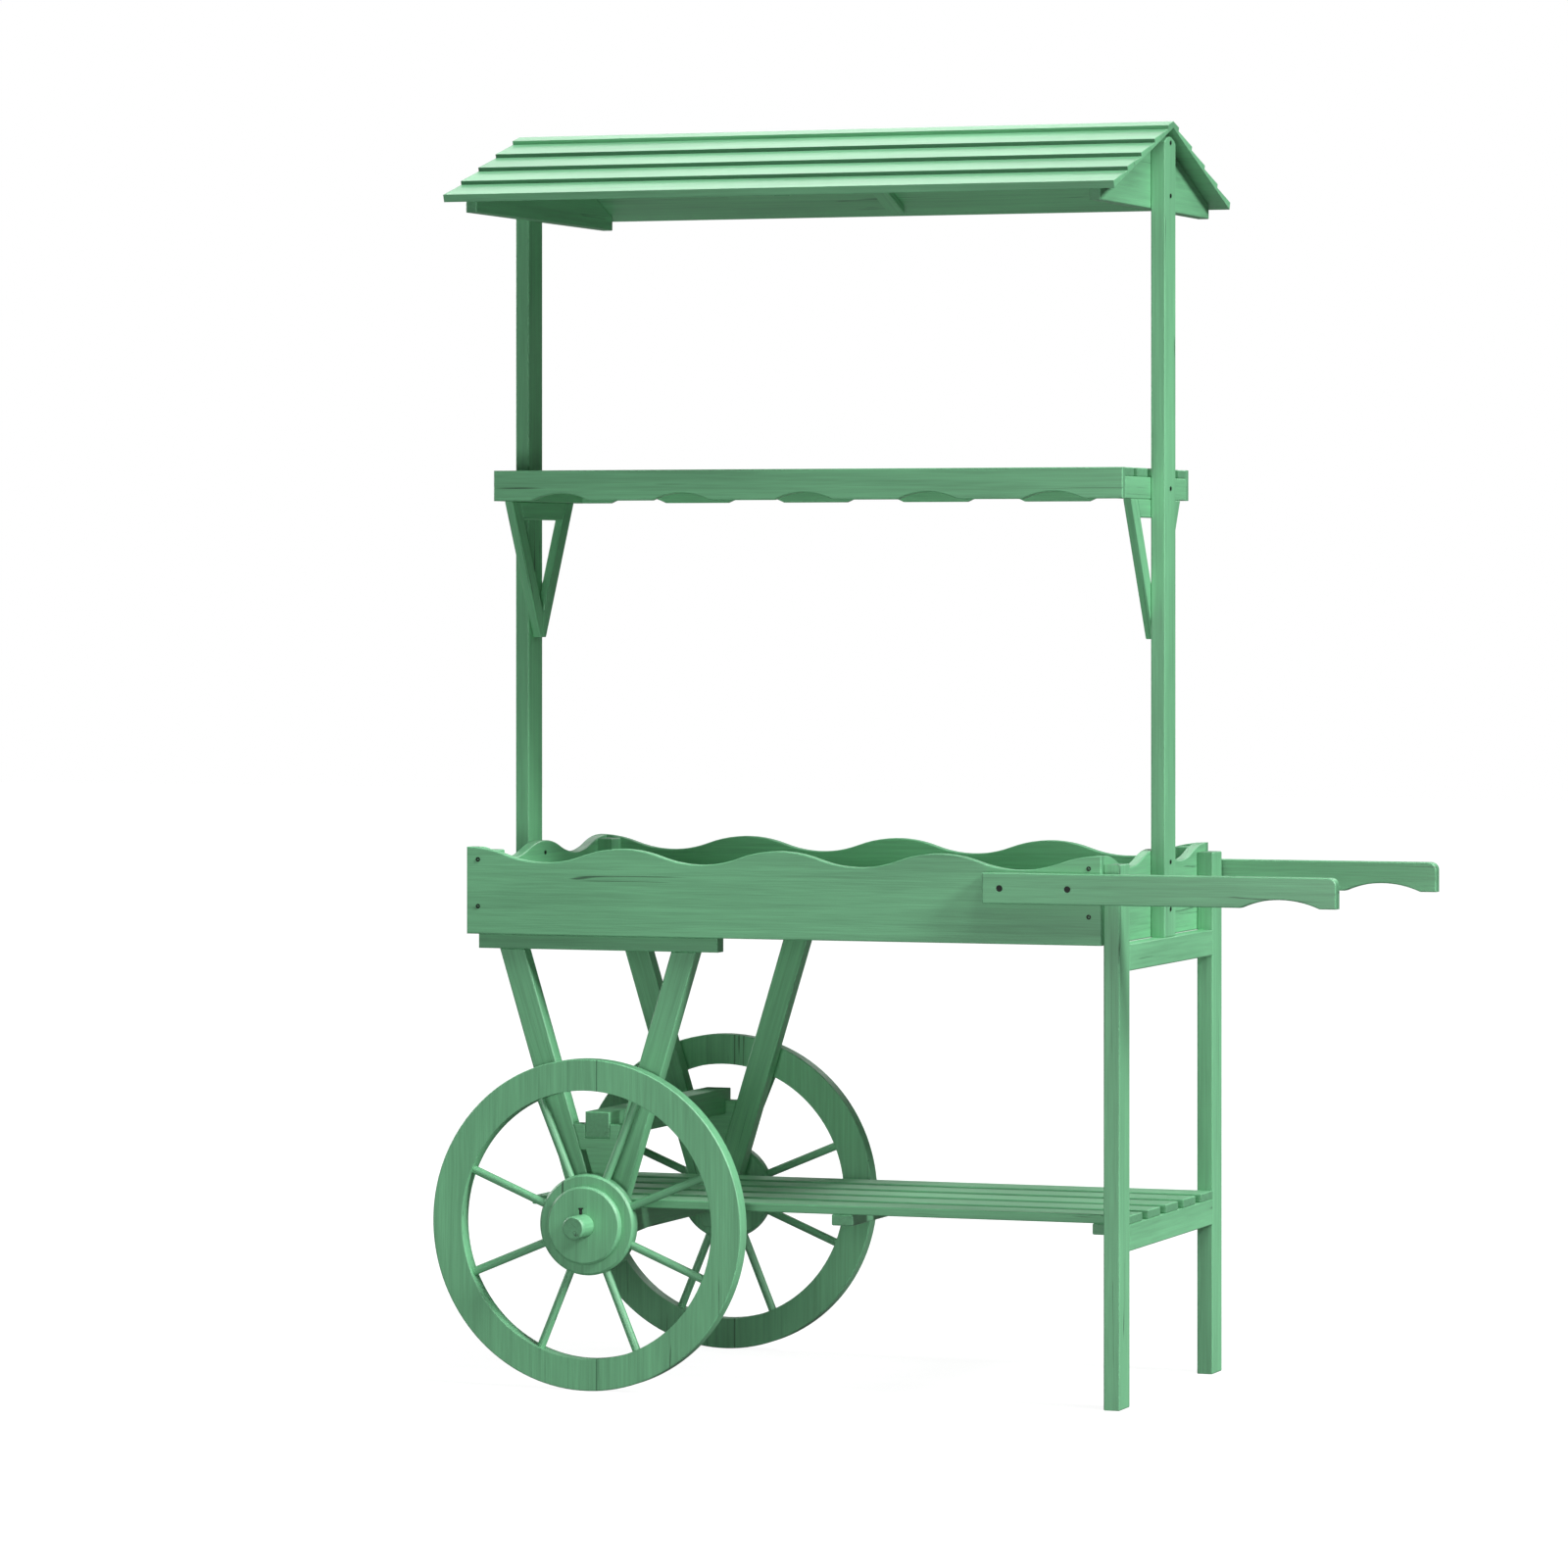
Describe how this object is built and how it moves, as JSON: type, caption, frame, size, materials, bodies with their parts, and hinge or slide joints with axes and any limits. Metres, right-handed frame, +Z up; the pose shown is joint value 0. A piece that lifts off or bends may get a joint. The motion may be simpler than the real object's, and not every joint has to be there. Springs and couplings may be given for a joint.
{
  "type": "flower cart stand",
  "caption": "Green wooden flower cart with a shingled gable roof, slatted upper shelf, wave-edged tray, spoked wheels, push handles and a slatted lower shelf.",
  "frame": {"origin": "on the floor, under the middle of the cart's bounding box", "axes": "+X along the cart towards the handles, +Y across it towards the side away from the camera, +Z up"},
  "size_m": [1.0769, 0.5454, 1.455],
  "materials": {
    "green_wood": "matt green wood stain, grain showing through",
    "dark_screw": "dark coated steel"
  },
  "bodies": {
    "cart": {"axle": "green_wood", "axle_spacers": "green_wood", "axle_stop_screws": "dark_screw", "bearer_front": "green_wood", "bearer_rear": "green_wood", "brace_left_front": "green_wood", "brace_left_rear": "green_wood", "brace_right_front": "green_wood", "brace_right_rear": "green_wood", "bracket_cleat_left": "green_wood", "bracket_cleat_right": "green_wood", "front_leg": "green_wood", "gable_left": "green_wood", "gable_right": "green_wood", "handle_front": "green_wood", "handle_rear": "green_wood", "handle_screws": "dark_screw", "leg_lower_rail": "green_wood", "leg_top_rail": "green_wood", "lower_battens": "green_wood", "lower_slats": "green_wood", "post_left": "green_wood", "post_right": "green_wood", "rafter_front": "green_wood", "rafter_rear": "green_wood", "rear_leg": "green_wood", "ridge_strip_front": "green_wood", "ridge_strip_rear": "green_wood", "roof_boards_front": "green_wood", "roof_boards_rear": "green_wood", "shelf_end_left": "green_wood", "shelf_end_right": "green_wood", "shelf_front_board": "green_wood", "shelf_rear_board": "green_wood", "shelf_slats": "green_wood", "spreader_front": "green_wood", "spreader_rear": "green_wood", "strut_front_left": "green_wood", "strut_front_right": "green_wood", "strut_rear_left": "green_wood", "strut_rear_right": "green_wood", "tie_beam": "green_wood", "tray_corner_blocks": "green_wood", "tray_end_left": "green_wood", "tray_end_right": "green_wood", "tray_floor_boards": "green_wood", "tray_front_board": "green_wood", "tray_ledges": "green_wood", "tray_rear_board": "green_wood"},
    "wheel_front": {"front_wheel_hub": "green_wood", "front_wheel_hub_cap": "green_wood", "front_wheel_rim": "green_wood", "front_wheel_spokes": "green_wood"},
    "wheel_rear": {"rear_wheel_hub": "green_wood", "rear_wheel_hub_cap": "green_wood", "rear_wheel_rim": "green_wood", "rear_wheel_spokes": "green_wood"}
  },
  "joints": [
    {"name": "front_wheel_turn", "type": "hinge", "parent": "cart", "child": "wheel_front", "pos_m": [-0.3485, -0.2237, 0.19], "axis": [0, 1, 0], "continuous": true},
    {"name": "rear_wheel_turn", "type": "hinge", "parent": "cart", "child": "wheel_rear", "pos_m": [-0.3485, 0.2237, 0.19], "axis": [0, 1, 0], "continuous": true}
  ]
}
